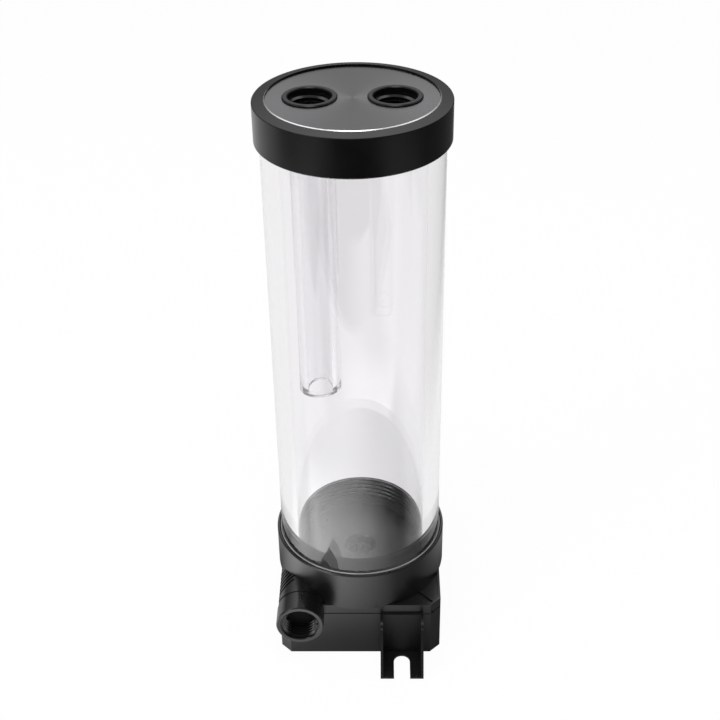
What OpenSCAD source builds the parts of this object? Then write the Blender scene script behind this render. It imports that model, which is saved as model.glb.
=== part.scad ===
// Coolant pump reservoir: a clear tube between a two-port cap and a pump top,
// over a square motor body with a wet hemispherical rotor and two sheet-metal feet.
// Millimetres. +Z up, origin at the middle of the underside, outlet port towards -Y.

/* [Reservoir tube] */
// Outer diameter of the clear tube
tube_d = 60; // [54:0.5:66]
// Wall thickness of the clear tube
tube_wall = 6; // [4:0.25:7]
// Length of tube that shows between the collar and the cap
tube_view = 158; // [110:0.5:300]
// Radial gap round the tube in the cap
cap_fit = 0.15; // [0.1:0.05:0.3]
// Radial room for the thread between the tube and the collar
collar_fit = 0.55; // [0.4:0.05:0.8]
// Bevel on the tube's four end edges
tube_bevel = 0.5; // [0.2:0.1:1]
// Thickness of the flat gasket under each end of the tube
gasket_t = 1; // [0.6:0.1:2]

/* [Top cap] */
// Height of the cap, up to the inner edge of its rim
cap_h = 13.7; // [12.5:0.1:20]
// Radial thickness of the skirt round the tube
cap_skirt = 1.55; // [1.2:0.05:4]
// Thickness of cap above the upper gasket
cap_deck = 4.2; // [3.6:0.1:6]
// Thickness of the O-ring round the plug
cap_seal_d = 1.8; // [1.5:0.1:2.2]
// Height of that O-ring above the plug's lower face
cap_seal_rise = 3; // [2.5:0.1:3.6]
// Depth of the plug that goes down inside the tube
cap_plug_h = 8.1; // [7:0.1:12]
// Radial gap between the plug and the tube
cap_plug_fit = 0.4; // [0.2:0.05:0.8]
// Radius on the cap's upper outer edge
cap_round = 0.3; // [0.2:0.1:1]
// Radial width of the rim round the inlaid disc
rim_w = 4.05; // [2:0.05:6]
// Fall of the rim's face from its inner to its outer edge
rim_fall = 0.6; // [0.2:0.1:1.2]
// Thickness of the inlaid disc
disc_t = 1.4; // [0.8:0.1:2]
// Depth of the disc's face below the rim's inner edge
disc_drop = 0.4; // [0.3:0.1:1.2]
// Width of the bevel on the disc's edges
disc_bevel = 0.2; // [0.1:0.05:0.5]

/* [Ports] */
// Major diameter of the G1/4 pipe thread
port_d = 13.157; // [10:0.001:15]
// Outer diameter of the raised ring round a port
port_ring_d = 17.5; // [16.5:0.1:19]
// Diameter of the plain mouth in front of the thread
port_mouth_d = 13.9; // [13.5:0.1:15.5]
// Depth of the plain mouth of a port in the cap
port_mouth_h = 2; // [0.5:0.1:2.5]
// Bevel round a port's mouth
port_bevel = 0.3; // [0.1:0.1:0.6]
// Height of a port's ring above the rim in the cap
port_rise = 0.3; // [0.1:0.1:1]

/* [Dip tube] */
// Outer diameter of the inner tube
dip_d = 15.2; // [13.4:0.1:16]
// Bore of the inner tube
dip_bore = 9; // [6:0.25:10]
// Length of the inner tube
dip_l = 99.6; // [40:0.1:150]
// Depth of its socket in the cap
dip_socket = 4.4; // [3:0.1:5]
// Plastic left between the socket and the side of the cap's plug
dip_land = 2.5; // [2.2:0.1:3.6]
// Radial gap in the socket
dip_fit = 0.1; // [0.05:0.05:0.2]
// Bevel on the inner tube's end edges
dip_bevel = 0.3; // [0.1:0.1:0.6]

/* [Pump body] */
// Width of the square motor body and pump top
body_w = 60.4; // [58:0.2:72]
// Size of the cut across each corner
body_cut = 3.8; // [2.5:0.1:6]
// Height of the motor body, up to the seam
motor_h = 20.2; // [19.5:0.1:30]
// Depth and height of the groove along the seam
seam_groove = 0.4; // [0.2:0.1:0.8]
// Wall thickness of the motor body
motor_wall = 2; // [1.5:0.1:2.6]
// Thickness of the ledge under the can's flange
ledge_t = 1.2; // [0.8:0.1:1.5]
// Thickness of the bottom cover
cover_t = 1.6; // [1:0.1:2]
// Radial gap round the cover and the circuit board
cover_fit = 0.1; // [0.05:0.05:0.3]

/* [Pump top] */
// Radial thickness of the collar round the tube
collar_wall = 1.2; // [1:0.05:4]
// Depth of the socket that the tube sits in
collar_depth = 9.8; // [6:0.1:20]
// Thickness of the square flange
flange_t = 3.9; // [3.4:0.1:6]
// Depth of the pockets in the flange's corners
pocket_depth = 0.7; // [0.3:0.1:1.2]
// Width of the lip and ribs that the pockets leave
pocket_lip = 0.9; // [0.6:0.1:1.5]
// Thickness of the floor between the tank and the pump chamber
floor_t = 4; // [3:0.1:8]
// Diameter of the pump's inlet hole
inlet_d = 10.5; // [7:0.25:12]
// Bevel round the inlet hole
inlet_bevel = 0.8; // [0.3:0.1:1.5]

/* [Outlet] */
// Length of the outlet sleeve in front of the body
sleeve_l = 7.4; // [6:0.1:14]
// Height of the outlet's axis above the seam
outlet_rise = 0.8; // [0:0.1:2]
// Solid wall behind the outlet's thread
outlet_end = 0.8; // [0.6:0.1:2]
// Depth of the outlet's plain mouth
outlet_mouth_h = 0.9; // [0.5:0.1:1.5]
// Step from the sleeve to the thicker boss behind it
boss_step = 0.25; // [0.1:0.05:0.8]
// Distance of that step behind the body's front face
boss_start = 1.5; // [0.5:0.1:3]
// Length of the boss behind the body's front face
boss_l = 17; // [14:0.5:22]
// Number of ribs on the boss's outer shoulder
rib_count = 6; // [3:1:7]
// Depth of the grooves between the ribs
rib_h = 0.9; // [0.4:0.1:1.4]
// Thickness of a rib
rib_t = 0.7; // [0.5:0.05:1]
// Spacing of the ribs
rib_pitch = 1.7; // [1.5:0.1:2.2]
// Distance of the first rib behind the body's front face
rib_start = 3.2; // [2:0.1:5]
// Slant of the ribs
rib_slant = 35; // [30:1:50]
// Diameter of the channel from the pump chamber to the port
channel_d = 4.6; // [4:0.1:4.8]

/* [Pump] */
// Depth of the pump chamber
volute_h = 5.8; // [5.4:0.1:8]
// Lead-in gap between the impeller's rim and the start of the spiral
volute_lead = 1.1; // [0.6:0.1:2]
// Solid ring between the spiral's widest point and the O-ring's middle
volute_land = 1.9; // [1.7:0.1:3]
// Angle from +X at which the spiral starts
volute_start = 205; // [195:1:220]
// Diameter of the impeller
impeller_d = 31.2; // [28:0.2:36]
// Number of impeller vanes
vane_count = 6; // [4:1:8]
// Thickness of an impeller vane
vane_t = 1.1; // [0.8:0.1:1.6]
// Radius of a vane's arc, as a share of the impeller's radius
vane_arc = 0.62; // [0.55:0.01:0.8]
// Radial gap between the inlet hole and the impeller's eye
eye_gap = 0.4; // [0.2:0.1:1]
// Height of the cone in the middle of the eye
hub_h = 1.6; // [0.8:0.1:2]
// How far the cone comes in for each mm of its height
hub_slope = 1.6; // [1:0.1:2]
// Thickness of the impeller's back plate and of its front shroud
impeller_plate_t = 1; // [0.8:0.1:1.2]
// Running gap round the impeller
impeller_gap = 0.5; // [0.3:0.05:0.8]
// Radius of the round magnet under the impeller
rotor_r = 13.2; // [11:0.1:13.4]
// Gap between the magnet and the can
rotor_gap = 0.6; // [0.4:0.05:0.8]
// Wall of the can that parts rotor from stator
can_wall = 0.8; // [0.5:0.1:1]
// Thickness of the can's flange
can_flange_t = 1.5; // [1.2:0.1:2]
// Width of motor body left round the can's flange
can_rim = 1.9; // [1.5:0.1:3]
// Diameter of the bearing ball
ball_d = 5; // [4:0.1:6]
// Running gap between the ball and its cup
ball_gap = 0.05; // [0.02:0.01:0.1]
// Depth of the ball's middle below the impeller
ball_depth = 5.2; // [4.5:0.1:6]
// Wall of the bearing cup
cup_wall = 1.8; // [1.2:0.1:2.2]
// Diameter of the post that carries the ball
post_d = 3.5; // [3:0.1:3.8]
// Thickness of the pump's O-ring
pump_seal_d = 1.4; // [1:0.1:1.5]
// Distance of the O-ring's middle from the edge of the can's flange
pump_seal_in = 2.1; // [1.8:0.1:2.5]

/* [Motor] */
// Number of stator teeth
tooth_count = 6; // [6:1:8]
// Width of a stator tooth
tooth_w = 5; // [4:0.1:5.5]
// Radial thickness of the ring that joins the teeth
yoke_t = 4; // [3:0.1:5]
// Height of the stack of laminations
stack_h = 7.5; // [6:0.1:8]
// Thickness of winding on each side of a tooth
coil_t = 1.5; // [1:0.1:1.7]
// Air gap between the can and the teeth
tooth_gap = 0.4; // [0.3:0.1:0.8]
// Gap between a winding and the ring
coil_gap = 0.4; // [0.2:0.1:0.8]
// Space between the circuit board and the windings
coil_rise = 0.9; // [0.3:0.1:1.2]
// Thickness of the circuit board
board_t = 1.4; // [1:0.1:1.6]
// Space between the bottom cover and the circuit board
board_gap = 1.4; // [1.3:0.1:2]

/* [Screws and cable gland] */
// Distance of the four body screws from the body's sides
screw_edge = 6.2; // [5.8:0.1:7]
// Diameter of a body screw
screw_d = 3.5; // [3:0.1:4]
// Diameter of a screw head
screw_head_d = 6.4; // [6:0.1:7]
// Height of a screw head
screw_head_h = 2; // [1.5:0.1:2.6]
// Plastic left over a screw's tip
screw_cover = 1.2; // [1:0.1:1.5]
// Wall of plastic round a screw's head
screw_wall = 1.2; // [1:0.1:1.5]
// Bore of the cable gland
gland_bore = 5; // [3:0.1:5.4]
// Wall of the cable gland
gland_wall = 0.9; // [0.7:0.1:1.2]
// Thickness of the gland's two lips
gland_lip = 0.9; // [0.6:0.1:1.2]
// Length of the gland's nose, in lip thicknesses
gland_nose = 1.6; // [1.2:0.1:2]
// Distance of the gland from the body's middle
gland_x = 14; // [12.5:0.1:15]
// Depth of the gland's axis below the seam
gland_drop = 10.2; // [9.5:0.1:11]

/* [Mounting feet] */
// Width of a foot
foot_w = 16; // [14:0.1:18]
// Distance that a foot stands out from the body
foot_l = 13.8; // [12:0.1:24]
// Thickness of the sheet metal
foot_t = 1; // [0.6:0.1:1.2]
// Distance of a foot's middle from the body's side
foot_edge = 14.55; // [14:0.05:15]
// Width of the open slot
slot_w = 6; // [4.5:0.1:7]
// Metal between the body and the slot's round end
slot_land = 1.4; // [1:0.1:4]
// Depth of the side wings at their top
wing_top = 6.4; // [4:0.1:8]
// Radius on the wings' upper corner
wing_round = 2.6; // [1:0.1:3]
// Height of the wings above the sheet at the foot's tip
wing_toe = 0.6; // [0.2:0.1:2]

/* [Hidden] */
$fn = 96;

touch = 0.02;                     // gap left where two round faces meet
tube_r = tube_d / 2;
tube_ri = tube_r - tube_wall;
half = body_w / 2;

// Heights, from the underside up
seam_z = motor_h;
flange_z = seam_z + flange_t;
chamber_z = seam_z + volute_h;
floor_z = chamber_z + floor_t;
rim_z = floor_z + collar_depth;
tube_z = floor_z + gasket_t;
cap_z = rim_z + tube_view;
top_z = cap_z + cap_h;
ring_z = top_z + port_rise;
cap_seat_z = top_z - cap_deck;
tube_top_z = cap_seat_z - gasket_t;
plug_z = cap_seat_z - cap_plug_h;
disc_z = top_z - disc_drop - disc_t;
dip_top_z = plug_z + dip_socket;

// Cap
cap_r = tube_r + cap_fit + cap_skirt;
disc_r = cap_r - rim_w;
plug_r = tube_ri - cap_plug_fit;
port_r = port_d / 2;
port_ring_r = port_ring_d / 2;
port_x = plug_r - dip_land - dip_fit - dip_d / 2;
cap_seal_bed = cap_seal_d - cap_plug_fit + 2 * touch;
cap_seal_z = plug_z + cap_seal_rise;
chamfer = 0.4;                    // small bevel on moulded edges
groove_play = 0.1;                // play on each side of an O-ring in its groove

// Collar and pump chamber
collar_ri = tube_r + collar_fit;
collar_r = collar_ri + collar_wall;
can_r = half - can_rim;
pump_seal_squeeze = 0.3;          // how far the O-ring is pressed flat
pump_seal_r = can_r - pump_seal_in;
pump_seal_bed = pump_seal_d - pump_seal_squeeze;
volute_r1 = pump_seal_r - volute_land;
volute_end = 540;                 // angle at which the spiral meets the channel, half a turn past 360
channel_r = channel_d / 2;
outlet_x = -(volute_r1 - channel_r);
outlet_z = seam_z + outlet_rise;
outlet_y = -(half + sleeve_l);
channel_drop = 0.3;               // step from the port's wall down to the channel
channel_z = outlet_z + port_r - channel_r - channel_drop;
boss_r = port_ring_r + boss_step;
cone_slope = 0.8;                 // height of the cone under the collar for each mm outwards
cone_start = 0.55;                // height at which it starts, as a share of the flange's thickness
impeller_r = impeller_d / 2;
volute_r0 = impeller_r + volute_lead;
vane_in = 0.2;                    // step from the impeller's rim in to the vanes' ends

// Rotor, can and stator share one middle, just above the seam
rotor_z = seam_z + impeller_gap;
can_ri = rotor_r + rotor_gap;
can_ro = can_ri + can_wall;
ball_r = ball_d / 2;
ball_z = rotor_z - ball_depth;
cup_r = ball_r + cup_wall;
post_r = post_d / 2;
bowl_z = rotor_z - can_ro;        // level of the can's lowest point
board_z = cover_t + board_gap;
stack_z = board_z + board_t + coil_rise + coil_t;
yoke_fit = 0.2;                   // gap between the stator and the housing's walls
yoke_r = half - motor_wall - yoke_fit;
tooth_ri = can_ro + tooth_gap;

// Screws
screw_at = half - screw_edge;
screw_fit = 0.15;
screw_tip = 0.2;                  // free depth of the hole past a screw's tip
screw_top_z = flange_z - pocket_depth - screw_cover - screw_tip;
screw_boss_r = screw_head_d / 2 + screw_wall;
screw_sink = 0.2;                 // depth of a screw's head inside the underside
tab_gap = 0.3;                    // gap between a foot's tab and the can's flange
tab_r = can_r + tab_gap;
tab_reach = 0.8;                  // how far a tab goes past its screw, as a share of the screw boss
gland_z = seam_z - gland_drop;
gland_r = gland_bore / 2 + gland_wall;
foot_x = half - foot_edge;
wing_bevel = 0.3;                 // bevel on the wings' lower front corner

// Square with its four corners cut off
function octagon(h, c) = [
    [h - c, -h], [h, c - h], [h, h - c], [h - c, h], [c - h, h], [-h, h - c], [-h, c - h], [c - h, -h],
];
// The corner cut that keeps the walls parallel when an octagon shrinks by w
function cut_in(w) = max(body_cut - w * (2 - sqrt(2)), 0.1);
// Points of an arc about [x, y]
function arc(x, y, r, a0, a1, n) = [
    for (i = [0:n]) let (a = a0 + (a1 - a0) * i / n) [x + r * cos(a), y + r * sin(a)],
];

module prism(h, c, z, height) {
    translate([0, 0, z]) linear_extrude(height) polygon(octagon(h, c));
}
module ring(z, height, ro, ri) {
    translate([0, 0, z]) difference() {
        cylinder(h = height, r = ro);
        translate([0, 0, -1]) cylinder(h = height + 2, r = ri);
    }
}
module o_ring(z, r, d) {
    translate([0, 0, z]) rotate_extrude() translate([r, 0]) circle(d = d, $fn = 32);
}
module at_corners(p) {
    for (x = [-p, p], y = [-p, p]) translate([x, y, 0]) children();
}
module at_ports() {
    for (s = [-1, 1]) translate([s * port_x, 0, 0]) children();
}
// Opening of a threaded port, looking up from its mouth at z = 0
module port_opening(depth, mouth) {
    translate([0, 0, -depth]) cylinder(h = depth + 1, d = port_d);
    translate([0, 0, -mouth]) cylinder(h = mouth + 1, d = port_mouth_d);
    translate([0, 0, -port_bevel])
        cylinder(h = port_bevel * 2, d1 = port_mouth_d, d2 = port_mouth_d + port_bevel * 4);
}

// ---- Cap -----------------------------------------------------------------

module cap_body() {
    recess_r = disc_r + touch;
    round_top = arc(cap_r - cap_round, top_z - rim_fall - cap_round, cap_round, 0, 90, 8);
    rotate_extrude() polygon(concat(
        [[0, plug_z], [plug_r - chamfer, plug_z], [plug_r, plug_z + chamfer]],
        [[plug_r, cap_seat_z], [tube_r + cap_fit, cap_seat_z]],
        [[tube_r + cap_fit, cap_z + chamfer], [tube_r + cap_fit + chamfer, cap_z]],
        [[cap_r - chamfer, cap_z], [cap_r, cap_z + chamfer]],
        round_top,
        [[recess_r + disc_bevel, top_z], [recess_r, top_z - disc_bevel], [recess_r, disc_z], [0, disc_z]]
    ));
    at_ports() rotate_extrude() polygon([
        [0, disc_z - disc_t], [port_ring_r, disc_z - disc_t], [port_ring_r, ring_z - port_bevel],
        [port_ring_r - port_bevel, ring_z], [0, ring_z],
    ]);
}
module top_cap() {
    color([0.09, 0.09, 0.1]) difference() {
        cap_body();
        at_ports() translate([0, 0, ring_z]) port_opening(ring_z - dip_top_z, port_mouth_h);
        translate([-port_x, 0, plug_z - 1]) cylinder(h = dip_socket + 1, r = dip_d / 2 + dip_fit);
        translate([port_x, 0, plug_z - 1]) cylinder(h = dip_socket + 2, d = dip_bore);
        ring(cap_seal_z - cap_seal_d / 2 - groove_play, cap_seal_d + 2 * groove_play,
            plug_r + 1, plug_r - cap_seal_bed);
    }
}
module cap_disc() {
    face_z = disc_z + disc_t;
    color([0.3, 0.3, 0.31]) difference() {
        rotate_extrude() polygon([
            [0, disc_z], [disc_r, disc_z], [disc_r, face_z - disc_bevel],
            [disc_r - disc_bevel, face_z], [0, face_z],
        ]);
        at_ports() translate([0, 0, disc_z - 1]) cylinder(h = disc_t + 2, r = port_ring_r + touch);
    }
}
module cap_gasket() {
    color([0.05, 0.05, 0.05]) ring(tube_top_z, gasket_t, tube_r - tube_bevel, tube_ri + tube_bevel);
}
module cap_o_ring() {
    color([0.05, 0.05, 0.05]) o_ring(cap_seal_z, tube_ri - touch - cap_seal_d / 2, cap_seal_d);
}

// ---- Tubes ---------------------------------------------------------------

module bevelled_tube(z0, z1, ro, ri, b) {
    rotate_extrude() polygon([
        [ri + b, z0], [ro - b, z0], [ro, z0 + b], [ro, z1 - b],
        [ro - b, z1], [ri + b, z1], [ri, z1 - b], [ri, z0 + b],
    ]);
}
module reservoir_tube() {
    color([0.86, 0.9, 0.94, 0.35]) bevelled_tube(tube_z, tube_top_z, tube_r, tube_ri, tube_bevel);
}
module dip_tube() {
    color([0.86, 0.9, 0.94, 0.35]) translate([-port_x, 0, 0])
        bevelled_tube(dip_top_z - dip_l, dip_top_z, dip_d / 2, dip_bore / 2, dip_bevel);
}
module tube_gasket() {
    color([0.05, 0.05, 0.05]) ring(floor_z, gasket_t, tube_r - tube_bevel, tube_ri + tube_bevel);
}

// ---- Pump top ------------------------------------------------------------

// Collar, floor and the cone that brings the collar in to the flange's sides
module collar_body() {
    cone_z = seam_z + flange_t * cone_start;
    inner = min(collar_r, half);
    cone_h = (collar_r - inner) * cone_slope + 0.1;
    rotate_extrude() polygon([
        [0, seam_z], [inner, seam_z], [inner, cone_z], [collar_r, cone_z + cone_h],
        [collar_r, rim_z - chamfer], [collar_r - chamfer, rim_z], [collar_ri + chamfer, rim_z],
        [collar_ri, rim_z - chamfer], [collar_ri, floor_z], [0, floor_z],
    ]);
}
// Shallow pockets in the flange's four corners, with a rib left along each diagonal
module corner_pockets() {
    translate([0, 0, flange_z - pocket_depth]) linear_extrude(pocket_depth + 1) difference() {
        polygon(octagon(half - pocket_lip, cut_in(pocket_lip)));
        circle(r = collar_r);
        for (a = [45, 135]) rotate(a) square([body_w * 2, pocket_lip], center = true);
    }
}
// Outlet boss along -Y: a full sleeve in front of the body, and a half boss behind it
module outlet_sleeve() {
    translate([outlet_x, outlet_y, outlet_z]) rotate([-90, 0, 0]) rotate_extrude() polygon([
        [0, 0], [port_ring_r - chamfer, 0], [port_ring_r, chamfer], [port_ring_r, sleeve_l - touch],
        [0, sleeve_l - touch],
    ]);
}
module outlet_round(y0, y1, r) {
    translate([outlet_x, y0, outlet_z]) rotate([-90, 0, 0]) cylinder(h = y1 - y0, r = r);
}
// Slanting grooves that leave the ribs standing on the boss's outer shoulder
module rib_grooves() {
    difference() {
        translate([outlet_x - boss_r, rib_start - half, seam_z]) for (i = [0:rib_count - 1])
            translate([0, i * rib_pitch / cos(rib_slant), 0]) rotate(rib_slant)
                translate([-boss_r, 0, 0]) cube([boss_r * 2 - rib_h, rib_pitch - rib_t, boss_r * 2]);
        outlet_round(-half, boss_l - half + 1, boss_r - rib_h);
    }
}
// The half boss behind the sleeve, flush with the body's side
module outlet_boss() {
    intersection() {
        union() {
            difference() {
                outlet_round(boss_start - half, boss_l - half, boss_r);
                rib_grooves();
            }
            outlet_round(-half - touch, boss_start - half + touch, port_ring_r);
        }
        difference() {
            translate([-half, -body_w, seam_z]) cube([body_w, body_w * 2, rim_z - seam_z]);
            translate([0, 0, floor_z - touch]) cylinder(h = rim_z, r = collar_ri + touch);
        }
    }
    outlet_sleeve();
}
// Spiral outline of the pump chamber: it widens anticlockwise to the channel on the -X side
module volute_outline() {
    steps = 48;
    sweep = volute_end - volute_start;
    polygon([for (i = [0:steps])
        let (a = volute_start + sweep * i / steps, r = volute_r0 + (volute_r1 - volute_r0) * i / steps)
        [r * cos(a), r * sin(a)]
    ]);
}
module pump_passages() {
    translate([0, 0, seam_z - 1]) linear_extrude(volute_h + 1) volute_outline();
    translate([outlet_x, 0, channel_z]) rotate([90, 0, 0]) cylinder(h = half + outlet_end, r = channel_r);
    translate([outlet_x, outlet_y, outlet_z]) rotate([90, 0, 0])
        port_opening(sleeve_l - outlet_end, outlet_mouth_h);
    translate([0, 0, chamber_z - 1]) cylinder(h = floor_t + 2, d = inlet_d);
    translate([0, 0, floor_z - inlet_bevel])
        cylinder(h = inlet_bevel + touch, r1 = inlet_d / 2, r2 = inlet_d / 2 + inlet_bevel + touch);
    ring(seam_z - 1, pump_seal_bed + 1, pump_seal_r + pump_seal_d / 2 + groove_play,
        pump_seal_r - pump_seal_d / 2 - groove_play);
    at_corners(screw_at) translate([0, 0, seam_z - 1])
        cylinder(h = screw_top_z + screw_tip - seam_z + 1, d = screw_d);
}
module pump_top() {
    color([0.11, 0.11, 0.12]) difference() {
        union() {
            collar_body();
            difference() {
                prism(half, body_cut, seam_z, flange_t);
                corner_pockets();
            }
            outlet_boss();
        }
        pump_passages();
    }
}
module pump_o_ring() {
    color([0.05, 0.05, 0.05]) translate([0, 0, seam_z]) rotate_extrude()
        translate([pump_seal_r - pump_seal_d / 2, 0]) square([pump_seal_d, pump_seal_bed]);
}

// ---- Wet rotor -----------------------------------------------------------

module separating_can() {
    post_z = bowl_z + can_wall;
    color([0.7, 0.68, 0.62]) difference() {
        union() {
            translate([0, 0, seam_z - can_flange_t]) cylinder(h = can_flange_t, r = can_r - touch);
            intersection() {
                translate([0, 0, rotor_z]) sphere(r = can_ro);
                translate([0, 0, bowl_z - 1]) cylinder(h = seam_z - bowl_z, r = can_ro + 1);
            }
        }
        difference() {
            translate([0, 0, rotor_z]) sphere(r = can_ri);
            translate([0, 0, post_z - 1]) cylinder(h = ball_z - post_z + 1, r = post_r);
        }
        translate([0, 0, ball_z]) sphere(r = ball_r + touch);
    }
}
module bearing_ball() {
    color([0.95, 0.95, 0.92]) translate([0, 0, ball_z]) sphere(r = ball_r);
}
module rotor_magnet() {
    color([0.2, 0.2, 0.22]) difference() {
        intersection() {
            translate([0, 0, rotor_z]) sphere(r = rotor_r);
            translate([0, 0, bowl_z]) cylinder(h = rotor_z - bowl_z, r = rotor_r + 1);
        }
        translate([0, 0, bowl_z - 1]) cylinder(h = rotor_z - bowl_z + 2, r = cup_r + touch);
    }
}
module bearing_cup() {
    color([0.85, 0.85, 0.8]) difference() {
        translate([0, 0, ball_z]) cylinder(h = rotor_z - ball_z, r = cup_r);
        translate([0, 0, ball_z]) sphere(r = ball_r + ball_gap);
    }
}
// One vane: a slice of an arc that trails from the eye to the rim as the impeller turns anticlockwise
module vane_outline() {
    arc_r = impeller_r * vane_arc;
    intersection() {
        circle(r = impeller_r - vane_in);
        difference() {
            translate([0, -arc_r]) circle(r = arc_r);
            translate([0, -arc_r]) circle(r = arc_r - vane_t);
            translate([-impeller_r * 2, -impeller_r * 2]) square([impeller_r * 2, impeller_r * 4]);
        }
    }
}
module impeller() {
    eye_r = inlet_d / 2 + eye_gap;
    top = chamber_z - impeller_gap;
    shroud_z = top - impeller_plate_t;
    color([0.82, 0.82, 0.8]) {
        difference() {
            union() {
                translate([0, 0, rotor_z]) cylinder(h = impeller_plate_t, r = impeller_r);
                translate([0, 0, shroud_z]) cylinder(h = impeller_plate_t, r = impeller_r);
                translate([0, 0, rotor_z + impeller_plate_t / 2])
                    linear_extrude(shroud_z - rotor_z) for (i = [0:vane_count - 1])
                        rotate(360 * i / vane_count) vane_outline();
            }
            translate([0, 0, rotor_z + impeller_plate_t]) cylinder(h = volute_h, r = eye_r);
        }
        translate([0, 0, rotor_z])
            cylinder(h = impeller_plate_t + hub_h, r1 = cup_r, r2 = cup_r - hub_h * hub_slope);
    }
}

// ---- Motor ---------------------------------------------------------------

module at_teeth() {
    for (i = [0:tooth_count - 1]) rotate(360 * i / tooth_count) children();
}
module stator_core() {
    color([0.45, 0.46, 0.48]) difference() {
        union() {
            ring(stack_z, stack_h, yoke_r, yoke_r - yoke_t);
            at_teeth() translate([0, -tooth_w / 2, stack_z]) cube([yoke_r - yoke_t / 2, tooth_w, stack_h]);
        }
        translate([0, 0, rotor_z]) sphere(r = tooth_ri);
        translate([0, 0, stack_z - 1]) cylinder(h = stack_h + 2, r = tooth_w * 1.5);
    }
}
module stator_coils() {
    inner = tooth_ri + 1;
    outer = yoke_r - yoke_t - coil_gap;
    gap = cover_fit;
    color([0.72, 0.4, 0.2]) at_teeth() difference() {
        translate([inner, -tooth_w / 2 - coil_t, stack_z - coil_t])
            cube([outer - inner, tooth_w + 2 * coil_t, stack_h + 2 * coil_t]);
        translate([inner - 1, -tooth_w / 2 - gap, stack_z - gap])
            cube([outer - inner + 2, tooth_w + 2 * gap, stack_h + 2 * gap]);
    }
}
module circuit_board() {
    edge = motor_wall + cover_fit;
    color([0.1, 0.35, 0.2]) difference() {
        prism(half - edge, cut_in(edge), board_z, board_t);
        at_corners(screw_at) translate([0, 0, board_z - 1])
            cylinder(h = board_t + 2, r = screw_boss_r + cover_fit);
    }
}
// Driver, three pairs of transistors and two capacitors, each as [x, y, width, depth]
module board_chips() {
    chip_h = board_gap - touch;
    chips = [[-12, -4, 8, 8], [2, 5, 3, 5], [7, 5, 3, 5], [12, 5, 3, 5], [4, -14, 6, 3], [4, -9, 6, 3]];
    unit = half / 30;
    color([0.08, 0.08, 0.09]) for (c = chips * unit)
        translate([c[0], c[1], board_z - chip_h]) cube([c[2], c[3], chip_h]);
}
module motor_housing() {
    ledge_z = seam_z - can_flange_t;
    cavity_z = ledge_z - ledge_t;
    color([0.1, 0.1, 0.11]) difference() {
        union() {
            difference() {
                prism(half, body_cut, 0, seam_z - seam_groove);
                prism(half - motor_wall, cut_in(motor_wall), -1, cavity_z + 1);
                prism(half - motor_wall / 2, cut_in(motor_wall / 2), -1, cover_t + 1);
            }
            prism(half - seam_groove, cut_in(seam_groove), seam_z - seam_groove - touch, seam_groove + touch);
            intersection() {
                at_corners(screw_at) cylinder(h = seam_z - seam_groove, r = screw_boss_r);
                prism(half, body_cut, 0, seam_z);
            }
        }
        translate([0, 0, ledge_z]) cylinder(h = can_flange_t + 1, r = can_r);
        translate([0, 0, cavity_z - 1]) cylinder(h = ledge_t + 2, r = pump_seal_r - pump_seal_in);
        at_corners(screw_at) {
            translate([0, 0, -1]) cylinder(h = seam_z + 2, d = screw_d + 2 * screw_fit);
            translate([0, 0, -1])
                cylinder(h = screw_head_h + screw_sink + 1, d = screw_head_d + 2 * screw_fit);
        }
        for (turn = [0, 180]) rotate(turn) translate([0, 0, seam_z - foot_t - touch])
            linear_extrude(foot_t + 1) foot_tab_outline(cover_fit);
        translate([gland_x, half - motor_wall * 2, gland_z]) rotate([-90, 0, 0])
            cylinder(h = motor_wall * 3, r = gland_r);
    }
}
module bottom_cover() {
    edge = motor_wall / 2 + cover_fit;
    color([0.13, 0.13, 0.14]) difference() {
        prism(half - edge, cut_in(edge), 0, cover_t);
        at_corners(screw_at) translate([0, 0, -1]) cylinder(h = cover_t + 2, r = screw_boss_r + cover_fit);
    }
}
module housing_screws() {
    socket_d = screw_d * 0.75;
    socket_depth = screw_head_h * 0.6;
    color([0.2, 0.2, 0.2]) at_corners(screw_at) difference() {
        union() {
            translate([0, 0, screw_sink]) cylinder(h = screw_head_h, d = screw_head_d);
            translate([0, 0, screw_sink]) cylinder(h = screw_top_z - screw_sink, d = screw_d - 2 * touch);
        }
        translate([0, 0, screw_sink - 1]) cylinder(h = 1 + socket_depth, d = socket_d, $fn = 6);
    }
}
module cable_gland() {
    neck = motor_wall + gland_lip;
    nose = gland_lip * gland_nose;
    color([0.06, 0.06, 0.06]) translate([gland_x, half - neck, gland_z]) rotate([-90, 0, 0]) difference() {
        union() {
            cylinder(h = gland_lip - touch, r = gland_r + gland_lip);
            cylinder(h = neck + nose, r = gland_r - touch);
            translate([0, 0, neck + touch])
                cylinder(h = nose, r1 = gland_r + gland_lip, r2 = gland_r + gland_lip / 3);
        }
        translate([0, 0, -1]) cylinder(h = neck + nose + 2, d = gland_bore);
    }
}

// ---- Feet ----------------------------------------------------------------

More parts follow.
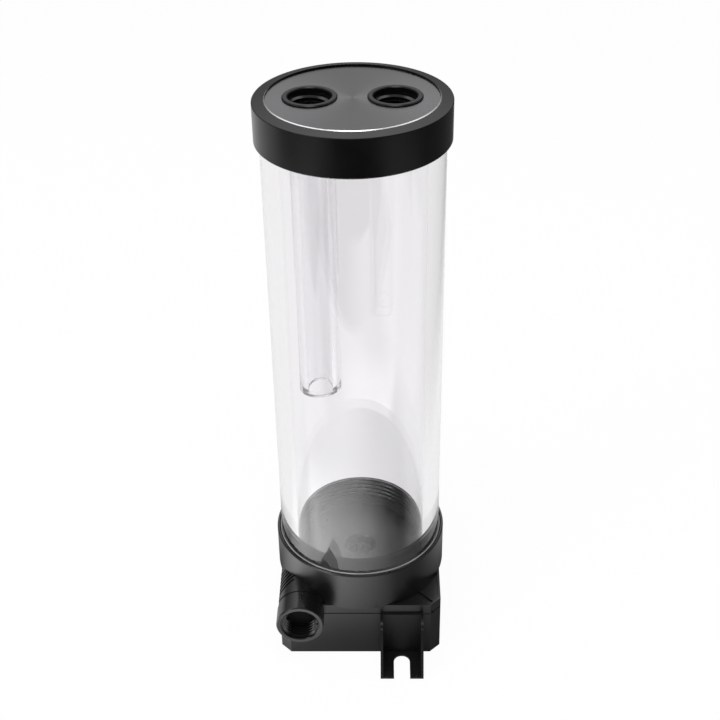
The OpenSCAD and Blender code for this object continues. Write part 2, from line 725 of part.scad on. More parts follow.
// Tab that lies in the seam and is held by a corner screw
module foot_tab_outline(grow) {
    x0 = foot_x - foot_w / 2 - grow;
    x1 = screw_at + screw_boss_r * tab_reach + grow;
    difference() {
        translate([x0, -half - 1])
            square([x1 - x0, half + 1 - screw_at + screw_boss_r + grow]);
        circle(r = tab_r - grow);
    }
}
module foot() {
    x0 = foot_x - foot_w / 2;
    x1 = foot_x + foot_w / 2;
    wall_y = -half - touch;
    tip_y = wall_y - foot_l;
    slot_y = wall_y - foot_t - slot_land;
    corner_z = seam_z - wing_round;
    wing = concat(
        [[wall_y, 0], [tip_y + wing_bevel, 0], [tip_y, wing_bevel], [tip_y, foot_t + wing_toe]],
        [for (p = arc(wall_y - wing_top + wing_round, corner_z, wing_round, 180, 90, 8)) p],
        [[wall_y, seam_z]]
    );
    difference() {
        union() {
            translate([x0, tip_y, 0]) cube([foot_w, foot_l, foot_t]);
            translate([x0, wall_y - foot_t, 0]) cube([foot_w, foot_t, seam_z]);
            for (x = [x0, x1 - foot_t])
                translate([x, 0, 0]) rotate([90, 0, 90]) linear_extrude(foot_t) polygon(wing);
            translate([0, 0, seam_z - foot_t]) linear_extrude(foot_t) intersection() {
                foot_tab_outline(0);
                translate([0, wall_y]) square([body_w, body_w]);
            }
            translate([x0, wall_y - foot_t, seam_z - foot_t]) cube([foot_w, foot_t * 2, foot_t]);
        }
        translate([foot_x, slot_y - slot_w / 2, -1]) cylinder(h = foot_t + 2, d = slot_w);
        translate([foot_x - slot_w / 2, tip_y - 1, -1])
            cube([slot_w, slot_y - slot_w / 2 - tip_y + 1, foot_t + 2]);
        translate([screw_at, -screw_at, seam_z - foot_t - 1])
            cylinder(h = foot_t + 2, d = screw_d + 2 * screw_fit);
    }
}
module front_foot() {
    color([0.08, 0.08, 0.08]) foot();
}
module rear_foot() {
    color([0.08, 0.08, 0.08]) rotate(180) foot();
}

top_cap();
cap_disc();
cap_gasket();
cap_o_ring();
reservoir_tube();
dip_tube();
tube_gasket();
pump_top();
pump_o_ring();
separating_can();
bearing_ball();
impeller();
rotor_magnet();
bearing_cup();
stator_core();
stator_coils();
circuit_board();
board_chips();
motor_housing();
bottom_cover();
housing_screws();
cable_gland();
front_foot();
rear_foot();
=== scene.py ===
import math

import bpy
from mathutils import Matrix, Vector


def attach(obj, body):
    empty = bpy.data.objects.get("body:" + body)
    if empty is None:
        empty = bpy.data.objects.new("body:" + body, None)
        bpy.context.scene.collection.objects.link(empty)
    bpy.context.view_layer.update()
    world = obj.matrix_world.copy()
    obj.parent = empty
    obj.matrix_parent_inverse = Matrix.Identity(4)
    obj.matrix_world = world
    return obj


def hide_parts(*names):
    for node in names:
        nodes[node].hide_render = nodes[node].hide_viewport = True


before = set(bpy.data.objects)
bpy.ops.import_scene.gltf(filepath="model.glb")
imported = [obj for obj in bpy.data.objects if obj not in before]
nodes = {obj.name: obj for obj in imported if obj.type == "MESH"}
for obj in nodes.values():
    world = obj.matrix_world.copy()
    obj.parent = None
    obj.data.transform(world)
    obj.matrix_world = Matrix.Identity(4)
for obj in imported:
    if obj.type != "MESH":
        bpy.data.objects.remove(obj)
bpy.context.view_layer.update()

MM = 0.001
bpy.ops.object.select_all(action="DESELECT")

# ---- Studio -------------------------------------------------------------
# A white table under soft boxes, dark beyond its front edge, and a short telephoto camera that
# looks down on the front of the reservoir from arm's length, turned a degree or so off square.
# The bright and dark bands that gloss and glass show are set apart from the plain light; on the
# table they are painted light and painted shadow.

# Angles in radians, lens and sensor in millimetres
camera_distance = 377.6 * MM
camera_height = 360.66 * MM
camera_aside = 0.96 * MM
camera_pitch = 0.5800
camera_roll = -0.0170
camera_turn = 0.0230
camera_lens = 63.91
camera_sensor = 36

turn = Matrix.Rotation(camera_turn, 3, "Z")
look = Vector((0, math.cos(camera_pitch), -math.sin(camera_pitch)))
right = Vector((1, 0, 0))
up = right.cross(look)
level = Matrix((right, up, -look)).transposed()
tilted = level @ Matrix.Rotation(camera_roll, 3, "Z")
bpy.ops.object.camera_add()
camera = bpy.context.object
camera.name = "camera"
camera.matrix_world = (turn @ tilted).to_4x4()
camera.location = turn @ Vector((camera_aside, -camera_distance, camera_height))
camera.data.lens = camera_lens
camera.data.sensor_width = camera_sensor
camera.data.clip_start = 0.01
bpy.context.scene.camera = camera


def new_tree(block):
    block.use_nodes = True
    block.node_tree.nodes.clear()
    return block.node_tree


def tree_node(tree, kind, **settings):
    node = tree.nodes.new(kind)
    for key, value in settings.items():
        setattr(node, key, value)
    return node


def tree_math(tree, operation, first, second):
    """A Math node; each operand is a number or an output socket."""
    node = tree_node(tree, "ShaderNodeMath", operation=operation)
    for socket, value in zip(node.inputs, (first, second)):
        if isinstance(value, (int, float)):
            socket.default_value = value
        else:
            tree.links.new(value, socket)
    return node.outputs[0]


def tree_range(tree, source, low, high, to_low, to_high):
    """Maps source from low..high to to_low..to_high, and no further."""
    node = tree_node(tree, "ShaderNodeMapRange")
    for socket, value in zip(node.inputs[1:5], (low, high, to_low, to_high)):
        socket.default_value = value
    tree.links.new(source, node.inputs[0])
    return node.outputs[0]


def tree_blend(tree, share, first, second):
    """The number first where share is 0, second where it is 1."""
    rest = tree_math(tree, "MULTIPLY", tree_math(tree, "SUBTRACT", 1, share), first)
    return tree_math(tree, "ADD", rest, tree_math(tree, "MULTIPLY", share, second))


def tree_mix(tree, share, first, second):
    """The shader node first where share is 0, second where it is 1."""
    mixed = tree_node(tree, "ShaderNodeMixShader")
    tree.links.new(share, mixed.inputs["Fac"])
    tree.links.new(first.outputs[0], mixed.inputs[1])
    tree.links.new(second.outputs[0], mixed.inputs[2])
    return mixed


def tree_ramp(tree, source, stops, shift=0.0):
    """Brightness along source, as a share of most_shine; shift brings the stops into 0 to 1."""
    node = tree_node(tree, "ShaderNodeValToRGB")
    elements = node.color_ramp.elements
    while len(elements) < len(stops):
        elements.new(0.5)
    for element, (place, shine) in zip(elements, stops):
        element.position = place + shift
        element.color = (*[shine / most_shine] * 3, 1)
    tree.links.new(source, node.inputs[0])
    return node.outputs[0]


# Brightness of the table in gloss, as (x in metres, strength): painted light, as if lit from the
# left, with a painted shadow of the reservoir in the dip right of the middle
painted_table_light = [(-0.44, 0.2), (-0.4, 2.6), (-0.2, 2.9), (-0.05, 3.3), (-0.01, 2.6), (0.02, 1.8),
               (0.05, 0.9), (0.075, 0.25), (0.13, 0.1), (0.19, 2.1), (0.41, 1.8), (0.45, 0.05)]
most_shine = 4.0
table_middle = 0.5                     # the ramp runs from 0 to 1, the table's x from -0.5 to 0.5
table_front = -0.257                   # y of the front edge
front_blur = 0.003
table_gap = 0.27                       # the dark beyond that edge ends at this x on either side
gap_blur = 0.01
rear_shine = 1.05                      # brightness in gloss of the paper behind the reservoir
glass_view = 0.91                      # brightness of the plain surroundings seen through glass
paper_white = 1.02                     # brightness of the paper for the camera
glow_share = 0.93                      # share of the paper that glows; the rest takes the shadow

# The ranges are from, to, value at from, value at to, in metres from the reservoir's middle
band_slant = (-0.1, -0.03, 0, 0.045)   # along y: how far left the bright bands are pushed
# painted shade by distance: a painted shadow close round the reservoir, a little painted light just
# past it, dimmer farther out
painted_table_shading = [(0.04, 0.07, 0.35, 1.18), (0.085, 0.105, 1, 0.82), (0.11, 0.145, 1, 0.5)]
# painted shadow of the reservoir on the paper close behind it
painted_rear_shadow = (0.05, 0.085, 0.1, rear_shine)
rear_side = (0.12, 0.2, 1, 0.1)        # along x
rear_start = (-0.025, 0.015, 0, 1)     # along y: where the front of the table gives way to the rear
mirror_end = (-0.04, -0.02, 1, 0)      # along y: the last of the front that the tube mirrors

bpy.ops.mesh.primitive_plane_add(size=8)
floor = bpy.context.object
floor.name = "floor"
paper = bpy.data.materials.new("studio_paper")
tree = new_tree(paper)
output = tree_node(tree, "ShaderNodeOutputMaterial")
path = tree_node(tree, "ShaderNodeLightPath")
place = tree_node(tree, "ShaderNodeTexCoord")
axes = tree_node(tree, "ShaderNodeSeparateXYZ")
tree.links.new(place.outputs["Object"], axes.inputs[0])
across, along = axes.outputs["X"], axes.outputs["Y"]
distance = tree_node(tree, "ShaderNodeVectorMath", operation="LENGTH")
tree.links.new(place.outputs["Object"], distance.inputs[0])
away = distance.outputs["Value"]

slanted = tree_math(tree, "ADD", across, table_middle)
slanted = tree_math(tree, "ADD", slanted, tree_range(tree, along, *band_slant))
# painted light and painted shadow on the table, seen in gloss
shine = tree_ramp(tree, slanted, painted_table_light, table_middle)
reach = tree_math(tree, "ABSOLUTE", across, 0)
beside = tree_range(tree, reach, table_gap - gap_blur, table_gap + gap_blur, 0, 1)
behind = tree_range(tree, along, table_front - front_blur, table_front + front_blur, 0, 1)
before = tree_math(tree, "MULTIPLY", shine, tree_math(tree, "MAXIMUM", beside, behind))
# painted shadow round the reservoir, in the table's gloss
for shade in painted_table_shading:
    before = tree_math(tree, "MULTIPLY", before, tree_range(tree, away, *shade))
before = tree_math(tree, "MULTIPLY", before, most_shine)
# the paper behind in gloss, with a painted shadow of the reservoir close behind it
rear = tree_range(tree, across, *rear_side)
rear = tree_math(tree, "MULTIPLY", rear, tree_range(tree, away, *painted_rear_shadow))
in_gloss = tree_blend(tree, tree_range(tree, along, *rear_start), before, rear)

# Seen straight through, glass shows plain surroundings; off its inner walls, the table in front
bounced = tree_math(tree, "MINIMUM", path.outputs["Glossy Depth"], 1)
mirrored = tree_math(tree, "MULTIPLY", bounced, tree_range(tree, along, *mirror_end))
in_glass = tree_blend(tree, mirrored, glass_view, in_gloss)

seen = path.outputs["Is Camera Ray"]
passed = path.outputs["Is Transmission Ray"]
glossy = tree_math(tree, "MAXIMUM", path.outputs["Is Glossy Ray"], passed)
reflected = tree_math(tree, "SUBTRACT", glossy, passed)
strength = tree_math(tree, "MULTIPLY", seen, paper_white)
strength = tree_math(tree, "ADD", strength, tree_math(tree, "MULTIPLY", reflected, in_gloss))
strength = tree_math(tree, "ADD", strength, tree_math(tree, "MULTIPLY", passed, in_glass))
glowing = tree_math(tree, "MAXIMUM", seen, glossy)
matt = tree_node(tree, "ShaderNodeBsdfDiffuse")
matt.inputs["Color"].default_value = (0.8, 0.8, 0.8, 1)
glow = tree_node(tree, "ShaderNodeEmission")
tree.links.new(strength, glow.inputs["Strength"])
mixed = tree_mix(tree, tree_math(tree, "MULTIPLY", glowing, glow_share), matt, glow)
tree.links.new(mixed.outputs[0], output.inputs["Surface"])
floor.data.materials.append(paper)

# A card that lies by the outlet, in millimetres: a painted shadow of the outlet on the table. Gloss
# and glass show it, darker than the table about it; the camera, the shadows and the light on matt
# surfaces pass it by.
card_corners = [(-27, -66), (-38, -71), (-52, -68), (-55, -50), (-61, -38), (-66, -22),
                (-40, -20), (-30, -40)]
card_height = 0.3 * MM
card_shine = 1.1

bpy.ops.mesh.primitive_circle_add(vertices=len(card_corners), fill_type="NGON")
card = bpy.context.object
card.name = "painted_shadow_card"
for vertex, (x, y) in zip(card.data.vertices, card_corners):
    vertex.co = (x * MM, y * MM, card_height)
# its glow is the painted shadow, darker than the painted light of the table round it
painted_shadow_black = bpy.data.materials.new("painted_shadow_black")
tree = new_tree(painted_shadow_black)
output = tree_node(tree, "ShaderNodeOutputMaterial")
glow = tree_node(tree, "ShaderNodeEmission")
glow.inputs["Strength"].default_value = card_shine
tree.links.new(glow.outputs[0], output.inputs["Surface"])
card.data.materials.append(painted_shadow_black)
card.visible_camera = card.visible_diffuse = card.visible_shadow = False

# Brightness of the wall behind in gloss, as (z of the direction, strength)
wall_shine = [(0.0, 0.2), (0.12, 0.3), (0.3, 0.6), (0.45, 1.3), (0.6, 2.1), (0.76, 3.6),
              (0.85, 4.0), (0.95, 0.8)]

# Ranges as above, over one part of the direction that a ray takes
room_light = (-0.1, 0.9, 0.45, 0.75)   # along z: the plain light on everything matt
wall_side = (-0.35, 0.25, 0.12, 1.0)   # along y: dim in front, bright behind
wall_middle = (0.05, 0.5, most_shine, 2.2)     # along x, to either side
corner_side = (0.25, 0.4, 0, 1)        # along x, to either side
corner_height = (0.2, 0.35, 0, 1)      # along z
corner_view = 0.1                      # brightness there of what the glass mirrors within

room = bpy.data.worlds.new("studio_room")
bpy.context.scene.world = room
tree = new_tree(room)
output = tree_node(tree, "ShaderNodeOutputWorld")
path = tree_node(tree, "ShaderNodeLightPath")
direction = tree_node(tree, "ShaderNodeTexCoord")
axes = tree_node(tree, "ShaderNodeSeparateXYZ")
tree.links.new(direction.outputs["Generated"], axes.inputs[0])
aside = tree_math(tree, "ABSOLUTE", axes.outputs["X"], 0)
passed = path.outputs["Is Transmission Ray"]

for_matt = tree_node(tree, "ShaderNodeBackground")
tree.links.new(tree_range(tree, axes.outputs["Z"], *room_light), for_matt.inputs["Strength"])

strength = tree_range(tree, axes.outputs["Y"], *wall_side)
strength = tree_math(tree, "MULTIPLY", strength, tree_range(tree, aside, *wall_middle))
shine = tree_ramp(tree, axes.outputs["Z"], wall_shine)
for_gloss = tree_node(tree, "ShaderNodeBackground")
tree.links.new(tree_math(tree, "MULTIPLY", strength, shine), for_gloss.inputs["Strength"])

corner = tree_range(tree, axes.outputs["Z"], *corner_height)
corner = tree_math(tree, "MULTIPLY", corner, tree_range(tree, aside, *corner_side))
bounced = tree_math(tree, "MINIMUM", path.outputs["Glossy Depth"], 1)
mirrored = tree_math(tree, "MULTIPLY", bounced, corner)
in_glass = tree_range(tree, mirrored, 0, 1, glass_view, corner_view)
for_view = tree_node(tree, "ShaderNodeBackground")
for_view.inputs["Color"].default_value = (1, 1, 1, 1)
tree.links.new(tree_blend(tree, passed, 1, in_glass), for_view.inputs["Strength"])

around = tree_mix(tree, path.outputs["Is Glossy Ray"], for_matt, for_gloss)
viewed = tree_math(tree, "MAXIMUM", path.outputs["Is Camera Ray"], passed)
mixed = tree_mix(tree, viewed, around, for_view)
tree.links.new(mixed.outputs[0], output.inputs["Surface"])

box_aim = (0, 0, 100 * MM)


def soft_box(name, place, width, height, power):
    """A rectangular lamp that is turned to box_aim, sizes in metres."""
    bpy.ops.object.light_add(type="AREA", location=place)
    box = bpy.context.object
    box.name = name
    box.data.shape = "RECTANGLE"
    box.data.size = width
    box.data.size_y = height
    box.data.energy = power
    box.rotation_euler = (Vector(box_aim) - Vector(place)).to_track_quat("-Z", "Y").to_euler()


soft_box("key_box", (-0.75, -0.55, 0.85), 0.5, 0.7, 4.0)
soft_box("top_box", (0.0, -0.45, 1.15), 0.5, 0.35, 4.0)

bpy.context.scene.view_settings.view_transform = "Standard"

# ---- Motor housing and bottom cover --------------------------------------
# Square lower shell, injection moulded in black glass-filled plastic with a satin spark-eroded
# finish, and the plate of the same plastic that closes it from below.


def shader_of(material):
    return material.node_tree.nodes["Principled BSDF"]


def new_surface(name, color, roughness, metallic=0.0, specular=0.5):
    """A material whose shader holds the plain values; the patterns are linked in afterwards."""
    material = bpy.data.materials.new(name)
    material.use_nodes = True
    shader = shader_of(material)
    shader.inputs["Base Color"].default_value = (*color, 1)
    shader.inputs["Roughness"].default_value = roughness
    shader.inputs["Metallic"].default_value = metallic
    shader.inputs["Specular IOR Level"].default_value = specular
    return material


def object_noise(material, size, detail, stretch=None):
    """Noise on object coordinates, size in metres, drawn out along an axis by stretch."""
    tree = material.node_tree
    place = tree_node(tree, "ShaderNodeTexCoord").outputs["Object"]
    if stretch:
        mapping = tree_node(tree, "ShaderNodeMapping")
        mapping.inputs["Scale"].default_value = stretch
        tree.links.new(place, mapping.inputs["Vector"])
        place = mapping.outputs["Vector"]
    noise = tree_node(tree, "ShaderNodeTexNoise")
    noise.inputs["Scale"].default_value = 1 / size
    noise.inputs["Detail"].default_value = detail
    tree.links.new(place, noise.inputs["Vector"])
    return noise.outputs["Fac"]


def bump(material, height, depth, strength=1.0):
    """Adds a bump of that depth in metres over the bumps already there."""
    tree = material.node_tree
    node = tree_node(tree, "ShaderNodeBump")
    node.inputs["Strength"].default_value = strength
    node.inputs["Distance"].default_value = depth
    tree.links.new(height, node.inputs["Height"])
    normal = shader_of(material).inputs["Normal"]
    if normal.is_linked:
        tree.links.new(normal.links[0].from_socket, node.inputs["Normal"])
    tree.links.new(node.outputs["Normal"], normal)


def grain(material, size, depth):
    """Moulded or cast grain: an even bump, size and depth in metres."""
    bump(material, object_noise(material, size, 3), depth)


noise_range = (0.25, 0.75)             # the noise seldom leaves this range


def mottle(material, size, color_low, color_high, rough_low, rough_high):
    """Slow changes of shade and gloss over a surface, as moulding and handling leave them."""
    tree = material.node_tree
    noise = object_noise(material, size, 4)
    tint = tree_node(tree, "ShaderNodeMix", data_type="RGBA")
    tint.inputs["A"].default_value = (*color_low, 1)
    tint.inputs["B"].default_value = (*color_high, 1)
    tree.links.new(noise, tint.inputs["Factor"])
    shader = shader_of(material)
    tree.links.new(tint.outputs["Result"], shader.inputs["Base Color"])
    rough = tree_range(tree, noise, *noise_range, rough_low, rough_high)
    tree.links.new(rough, shader.inputs["Roughness"])


def dress(node, material):
    """Gives a CAD node its material."""
    nodes[node].data.materials.clear()
    nodes[node].data.materials.append(material)


housing_plastic = new_surface("housing_plastic", (0.008, 0.008, 0.0085), 0.38)
mottle(housing_plastic, 20 * MM, (0.004, 0.004, 0.0042), (0.008, 0.008, 0.0082), 0.28, 0.38)
grain(housing_plastic, 0.25 * MM, 0.006 * MM)
dress("motor_housing", housing_plastic)
cover_plastic = new_surface("cover_plastic", (0.01, 0.01, 0.0105), 0.5)
mottle(cover_plastic, 20 * MM, (0.008, 0.008, 0.0085), (0.014, 0.014, 0.0145), 0.42, 0.56)
grain(cover_plastic, 0.4 * MM, 0.02 * MM)
dress("bottom_cover", cover_plastic)

# ---- Stator --------------------------------------------------------------
# A stack of stamped silicon-steel laminations with six teeth, each wound with enamelled copper
# wire, pushed into the housing.


def axis_distance(material, flatten, centre=(0, 0, 0)):
    """Distance from the line through centre along the axis that flatten sets to 0."""
    tree = material.node_tree
    moved = tree_node(tree, "ShaderNodeVectorMath", operation="SUBTRACT")
    moved.inputs[1].default_value = centre
    tree.links.new(tree_node(tree, "ShaderNodeTexCoord").outputs["Object"], moved.inputs[0])
    flat = tree_node(tree, "ShaderNodeVectorMath", operation="MULTIPLY")
    flat.inputs[1].default_value = flatten
    tree.links.new(moved.outputs["Vector"], flat.inputs[0])
    radius = tree_node(tree, "ShaderNodeVectorMath", operation="LENGTH")
    tree.links.new(flat.outputs["Vector"], radius.inputs[0])
    return radius.outputs["Value"]


def ridges(material, along, pitch, depth):
    """Even ridges across the measure along, pitch and depth in metres."""
    tree = material.node_tree
    phase = tree_math(tree, "MULTIPLY", along, 2 * math.pi / pitch)
    bump(material, tree_math(tree, "SINE", phase, 0), depth)


lamination_pitch = 0.5 * MM
lamination_gap = 0.03 * MM
wire_pitch = 0.35 * MM
wire_height = 0.05 * MM

lamination_steel = new_surface("lamination_steel", (0.4, 0.4, 0.42), 0.4, metallic=1.0)
mottle(lamination_steel, 4 * MM, (0.34, 0.34, 0.36), (0.46, 0.46, 0.48), 0.35, 0.5)
tree = lamination_steel.node_tree
axes = tree_node(tree, "ShaderNodeSeparateXYZ")
tree.links.new(tree_node(tree, "ShaderNodeTexCoord").outputs["Object"], axes.inputs[0])
ridges(lamination_steel, axes.outputs["Z"], lamination_pitch, lamination_gap)
dress("stator_core", lamination_steel)
copper_wire = new_surface("copper_wire", (0.55, 0.2, 0.07), 0.3, metallic=1.0)
mottle(copper_wire, 3 * MM, (0.48, 0.17, 0.055), (0.6, 0.23, 0.08), 0.25, 0.4)
ridges(copper_wire, axis_distance(copper_wire, (1, 1, 0)), wire_pitch, wire_height)
dress("stator_coils", copper_wire)

# ---- Circuit board -------------------------------------------------------
# Glass-epoxy driver board under green solder mask, in the housing below the stator, with its
# resin-cased chips soldered to the lower side.

board_mask = new_surface("board_mask", (0.012, 0.1, 0.04), 0.3)
mottle(board_mask, 4 * MM, (0.01, 0.08, 0.03), (0.02, 0.15, 0.06), 0.25, 0.4)
dress("circuit_board", board_mask)
chip_resin = new_surface("chip_resin", (0.02, 0.02, 0.02), 0.6)
grain(chip_resin, 0.2 * MM, 0.01 * MM)
dress("board_chips", chip_resin)

# ---- Separating can, bearing and rotor ------------------------------------
# The thin moulded bowl keeps the coolant out of the motor. A ceramic ball on its post carries the
# rotor: a ferrite hemisphere with a bearing cup, and the shrouded impeller glued on top.

can_plastic = new_surface("can_plastic", (0.3, 0.28, 0.24), 0.4)
mottle(can_plastic, 10 * MM, (0.26, 0.24, 0.2), (0.34, 0.32, 0.28), 0.35, 0.5)
grain(can_plastic, 0.4 * MM, 0.01 * MM)
dress("separating_can", can_plastic)
ceramic = new_surface("ceramic", (0.85, 0.83, 0.78), 0.12)
mottle(ceramic, 1 * MM, (0.8, 0.78, 0.73), (0.88, 0.86, 0.82), 0.1, 0.18)
dress("bearing_ball", ceramic)
ferrite = new_surface("ferrite", (0.06, 0.06, 0.065), 0.5)
mottle(ferrite, 3 * MM, (0.04, 0.04, 0.045), (0.09, 0.09, 0.095), 0.4, 0.65)
grain(ferrite, 0.3 * MM, 0.02 * MM)
dress("rotor_magnet", ferrite)
bearing_plastic = new_surface("bearing_plastic", (0.6, 0.56, 0.45), 0.4)
mottle(bearing_plastic, 3 * MM, (0.55, 0.5, 0.4), (0.66, 0.62, 0.5), 0.35, 0.45)
dress("bearing_cup", bearing_plastic)
impeller_plastic = new_surface("impeller_plastic", (0.1, 0.1, 0.1), 0.4)
mottle(impeller_plastic, 6 * MM, (0.08, 0.08, 0.08), (0.13, 0.13, 0.13), 0.35, 0.5)
grain(impeller_plastic, 0.3 * MM, 0.01 * MM)
dress("impeller", impeller_plastic)

# ---- Seals and cable gland -------------------------------------------------
# Moulded nitrile O-rings for the cap and the pump top, flat gaskets cut from sheet for both ends
# of the tube, and the lead's gland in the back of the housing, all dull black.

nitrile = new_surface("nitrile", (0.015, 0.015, 0.015), 0.7)
mottle(nitrile, 5 * MM, (0.012, 0.012, 0.012), (0.022, 0.022, 0.022), 0.6, 0.8)
grain(nitrile, 0.3 * MM, 0.01 * MM)
for seal in ("cap_gasket", "cap_o_ring", "tube_gasket", "pump_o_ring", "cable_gland"):
    dress(seal, nitrile)

# ---- Pump top ------------------------------------------------------------
# Collar, tank floor, flange and outlet boss in one black moulding with a fine eroded grain. The
# collar's thread is moulded inside it; the outlet is bored, which dulls it, and tapped G1/4.

collar_inner = 30.55 * MM
collar_thread = {"height": 0.45, "base": 1.2, "crest": 0.35, "pitch": 1.9, "steps": 128}
collar_thread_z = 31.2 * MM
collar_turns = 3.8
pipe_thread = {"height": 0.856, "base": 1.25, "crest": 0.25, "pitch": 1.337, "steps": 64}
pipe_radius = 6.5785 * MM              # half the major diameter of G1/4
outlet_axis = Vector((-22.0, 0, 21.0)) * MM
outlet_thread_y = -37.35 * MM
outlet_turns = 4.4
bore_dulling = (6.6 * MM, 6.8 * MM, 0.95, 0)   # roughness, by distance from the outlet's axis
root = 0.03 * MM                       # how far a thread's foot goes into the wall behind it


def flat_section(name, x0, x1, z0, z1):
    """A closed outline of four edges in the XZ plane, left in edit mode."""
    bpy.ops.mesh.primitive_plane_add(size=1, location=((x0 + x1) / 2, 0, (z0 + z1) / 2))
    piece = bpy.context.object
    piece.name = name
    piece.rotation_euler = (math.pi / 2, 0, 0)
    piece.scale = (x1 - x0, z1 - z0, 1)
    bpy.ops.object.transform_apply(location=True, rotation=True, scale=True)
    bpy.ops.object.mode_set(mode="EDIT")
    bpy.ops.mesh.select_all(action="SELECT")
    bpy.ops.mesh.delete(type="ONLY_FACE")
    return piece


def sweep(piece, turns, rise, steps):
    """Turns the outline about Z, climbing by rise in metres each turn, and closes the ends."""
    bpy.ops.object.mode_set(mode="OBJECT")
    screw = piece.modifiers.new("sweep", "SCREW")
    screw.axis = "Z"
    screw.angle = 2 * math.pi * turns
    screw.screw_offset = rise * turns
    screw.steps = screw.render_steps = round(steps * turns)
    bpy.ops.object.modifier_apply(modifier=screw.name)
    bpy.ops.object.mode_set(mode="EDIT")
    bpy.ops.mesh.select_all(action="SELECT")
    bpy.ops.mesh.remove_doubles(threshold=1e-6)
    bpy.ops.mesh.fill_holes(sides=8)
    bpy.ops.mesh.select_all(action="SELECT")
    bpy.ops.mesh.normals_make_consistent(inside=False)
    bpy.ops.object.mode_set(mode="OBJECT")
    bpy.ops.object.shade_smooth_by_angle(angle=math.radians(30))


def inner_thread(name, wall, z0, thread, turns):
    """A right-handed ridge that stands inwards from a round wall, its lowest foot at z0."""
    foot, crest = wall + root, wall - thread["height"] * MM
    piece = flat_section(name, crest, foot, z0, z0 + thread["base"] * MM)
    bpy.ops.object.mode_set(mode="OBJECT")
    for vertex in piece.data.vertices:
        vertex.select = vertex.co.x < (foot + crest) / 2
    bpy.ops.object.mode_set(mode="EDIT")
    bpy.ops.transform.resize(value=(1, 1, thread["crest"] / thread["base"]))
    sweep(piece, turns, thread["pitch"] * MM, thread["steps"])
    return piece


def finish_piece(piece, material):
    """Puts the piece's origin at the frame's, and says its material and body."""
    bpy.ops.object.select_all(action="DESELECT")
    piece.select_set(True)
    bpy.context.view_layer.objects.active = piece
    bpy.ops.object.transform_apply(location=True, rotation=True, scale=True)
    piece.data.materials.clear()
    piece.data.materials.append(material)
    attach(piece, "pump")
    bpy.ops.object.select_all(action="DESELECT")


pump_plastic = new_surface("pump_plastic", (0.006, 0.006, 0.0062), 0.3)
mottle(pump_plastic, 12 * MM, (0.003, 0.003, 0.0032), (0.008, 0.008, 0.0082), 0.26, 0.34)
grain(pump_plastic, 0.3 * MM, 0.01 * MM)
from_bore = axis_distance(pump_plastic, (1, 0, 1), outlet_axis)
dull = tree_range(pump_plastic.node_tree, from_bore, *bore_dulling)
rough = shader_of(pump_plastic).inputs["Roughness"]
mottled = rough.links[0].from_socket
duller = tree_math(pump_plastic.node_tree, "MAXIMUM", mottled, dull)
pump_plastic.node_tree.links.new(duller, rough)
dress("pump_top", pump_plastic)

tapped_plastic = new_surface("tapped_plastic", (0.006, 0.006, 0.0062), 0.14, specular=0.4)
mottle(tapped_plastic, 6 * MM, (0.004, 0.004, 0.0042), (0.008, 0.008, 0.0082), 0.1, 0.17)
ridge = inner_thread("collar_thread", collar_inner, collar_thread_z, collar_thread, collar_turns)
finish_piece(ridge, tapped_plastic)
ridge = inner_thread("outlet_thread", pipe_radius, 0, pipe_thread, outlet_turns)
ridge.rotation_euler = (-math.pi / 2, 0, 0)
ridge.location = outlet_axis + Vector((0, outlet_thread_y, 0))
finish_piece(ridge, tapped_plastic)

# ---- Tubes ---------------------------------------------------------------
# Cast acrylic tube, turned and polished at both ends and sealed in the collar with a clear bead,
# drawn here light grey as a painted highlight along the collar's rim, and the thinner extruded dip
# tube. Faint lines run along both from drawing and wiping.

tube_radii = (30 * MM, 24 * MM)
tube_ends = (31.0 * MM, 206.3 * MM)
tube_bevel = 0.5 * MM
tube_steps = 256
dip_radii = (7.6 * MM, 4.5 * MM)
dip_ends = (104.0 * MM, 203.6 * MM)
dip_axis = -13.4 * MM
dip_bevel = 0.3 * MM
dip_steps = 128
bead_z = 39.75 * MM
bead_radius = 30.28 * MM
bead_thickness = 0.54 * MM


def clear_surface(name, color):
    """Acrylic of that colour, with the faint lines along Z."""
    material = new_surface(name, color, 0.0)
    shader_of(material).inputs["Transmission Weight"].default_value = 1.0
    shader_of(material).inputs["IOR"].default_value = 1.49
    bump(material, object_noise(material, 1.5 * MM, 2, (1, 1, 0.008)), 0.002 * MM, 0.3)
    return material


def turned_tube(name, radii, ends, bevel, steps):
    """A tube about Z from its outer and inner radius, with all its edges bevelled."""
    outer, inner = radii
    piece = flat_section(name, inner, outer, *ends)
    bpy.ops.mesh.select_all(action="SELECT")
    bpy.ops.mesh.bevel(offset=bevel * math.sqrt(0.5), affect="VERTICES")
    sweep(piece, 1, 0, steps)
    return piece


acrylic = clear_surface("acrylic", (0.965, 0.957, 0.968))
tank = turned_tube("tank_tube", tube_radii, tube_ends, tube_bevel, tube_steps)
finish_piece(tank, acrylic)
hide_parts("reservoir_tube")
smoky_acrylic = clear_surface("smoky_acrylic", (0.92, 0.915, 0.925))
dip = turned_tube("inner_tube", dip_radii, dip_ends, dip_bevel, dip_steps)
dip.location.x = dip_axis
finish_piece(dip, smoky_acrylic)
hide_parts("dip_tube")

# the bead's gloss is real; its light grey, far above the black collar, is a painted highlight along
# the rim
sealant_highlight = new_surface("sealant_highlight", (0.3, 0.3, 0.31), 0.12)
mottle(sealant_highlight, 10 * MM, (0.12, 0.12, 0.125), (0.45, 0.45, 0.46), 0.08, 0.2)
bpy.ops.mesh.primitive_torus_add(
    location=(0, 0, bead_z), major_radius=bead_radius, minor_radius=bead_thickness / 2,
    major_segments=192, minor_segments=12
)
bead = bpy.context.object
bead.name = "tube_sealant"
bpy.ops.object.shade_smooth()
finish_piece(bead, sealant_highlight)

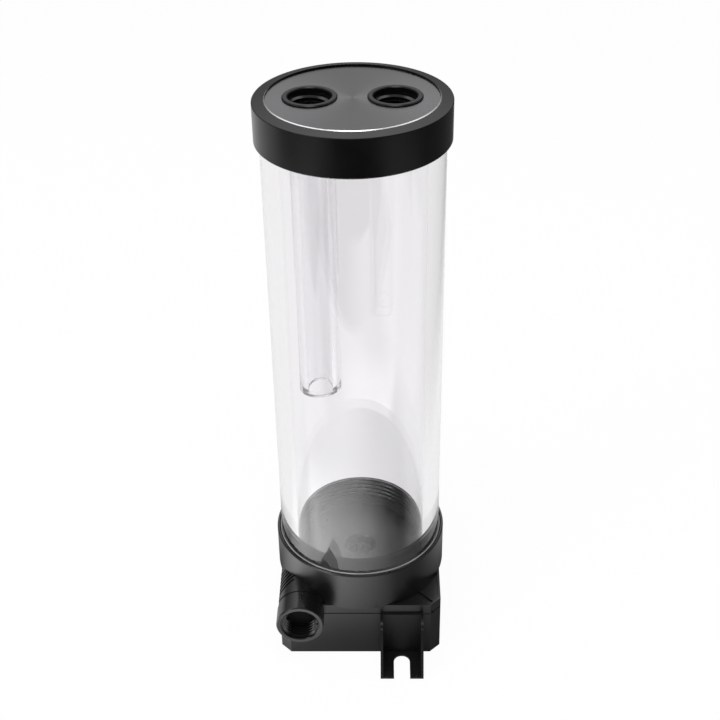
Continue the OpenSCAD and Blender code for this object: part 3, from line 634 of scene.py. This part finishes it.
# ---- Cap -----------------------------------------------------------------
# Black cap with a skirt over the tube, a sloped rim and two raised ports with G1/4 threads. A
# trim ring with a polished bevel covers the joint between the rim and the disc.

cap_thread_z = 203.75 * MM
cap_turns = 3.6
trim_top = (27.5 * MM, 211.7 * MM)     # radius and height of the bevel's inner edge
trim_foot = (27.95 * MM, 211.3 * MM)   # and of its outer edge
trim_low = 210.9 * MM
trim_steps = 192
bevel_facing = 0.3                     # faces that look up more than this are polished

cap_plastic = new_surface("cap_plastic", (0.003, 0.003, 0.0032), 0.36, specular=0.25)
mottle(cap_plastic, 10 * MM, (0.002, 0.002, 0.0022), (0.004, 0.004, 0.0042), 0.26, 0.34)
grain(cap_plastic, 0.3 * MM, 0.015 * MM)
dress("top_cap", cap_plastic)
for side, x in (("left", dip_axis), ("right", -dip_axis)):
    ridge = inner_thread("cap_thread_" + side, pipe_radius, cap_thread_z, pipe_thread, cap_turns)
    ridge.location.x = x
    finish_piece(ridge, tapped_plastic)

bright_metal = new_surface("bright_metal", (0.85, 0.85, 0.86), 0.32, metallic=1.0)
mottle(bright_metal, 2 * MM, (0.8, 0.8, 0.81), (0.88, 0.88, 0.89), 0.28, 0.38)
ring = flat_section("disc_trim", trim_top[0], trim_foot[0], trim_low, trim_top[1])
bpy.ops.object.mode_set(mode="OBJECT")
trim_middle = ((trim_top[0] + trim_foot[0]) / 2, (trim_low + trim_top[1]) / 2)
for vertex in ring.data.vertices:
    if vertex.co.x > trim_middle[0] and vertex.co.z > trim_middle[1]:
        vertex.co.z = trim_foot[1]
sweep(ring, 1, 0, trim_steps)
finish_piece(ring, bright_metal)
ring.data.materials.append(cap_plastic)
for face in ring.data.polygons:
    face.material_index = 0 if face.normal.z > bevel_facing else 1

# ---- Cap disc ------------------------------------------------------------
# Thin aluminium disc let into the cap, spun against abrasive so that its brushing runs in
# circles, and anodised dark grey.

brush_pitch = 0.16 * MM
brush_depth = 0.004 * MM
brush_gloss = (0.2, 0.8, 0.26, 0.4)    # roughness, by the noise that makes the grooves

disc_metal = new_surface("disc_metal", (0.14, 0.14, 0.144), 0.32, metallic=1.0)
shader = shader_of(disc_metal)
shader.inputs["Anisotropic"].default_value = 0.7
tree = disc_metal.node_tree
rings = tree_node(tree, "ShaderNodeTexNoise", noise_dimensions="1D")
rings.inputs["Scale"].default_value = 1 / brush_pitch
rings.inputs["Detail"].default_value = 4
tree.links.new(axis_distance(disc_metal, (1, 1, 0)), rings.inputs["W"])
bump(disc_metal, rings.outputs["Fac"], brush_depth, 0.6)
rough = tree_range(tree, rings.outputs["Fac"], *brush_gloss)
tree.links.new(rough, shader.inputs["Roughness"])
grooves = tree_node(tree, "ShaderNodeTangent", direction_type="RADIAL", axis="Z")
tree.links.new(grooves.outputs[0], shader.inputs["Tangent"])
dress("cap_disc", disc_metal)

# ---- Screws and feet -------------------------------------------------------
# Blackened screws that hold housing, feet and pump top together, and two feet, folded from 1 mm
# steel sheet and powder coated black, with an open slot for a fixing screw.

black_steel = new_surface("black_steel", (0.05, 0.05, 0.052), 0.35, metallic=0.9)
mottle(black_steel, 2 * MM, (0.04, 0.04, 0.042), (0.07, 0.07, 0.072), 0.3, 0.45)
dress("housing_screws", black_steel)
powder_coat = new_surface("powder_coat", (0.006, 0.006, 0.006), 0.4, specular=0.3)
mottle(powder_coat, 10 * MM, (0.004, 0.004, 0.004), (0.008, 0.008, 0.008), 0.36, 0.48)
grain(powder_coat, 0.5 * MM, 0.02 * MM)
dress("front_foot", powder_coat)
dress("rear_foot", powder_coat)
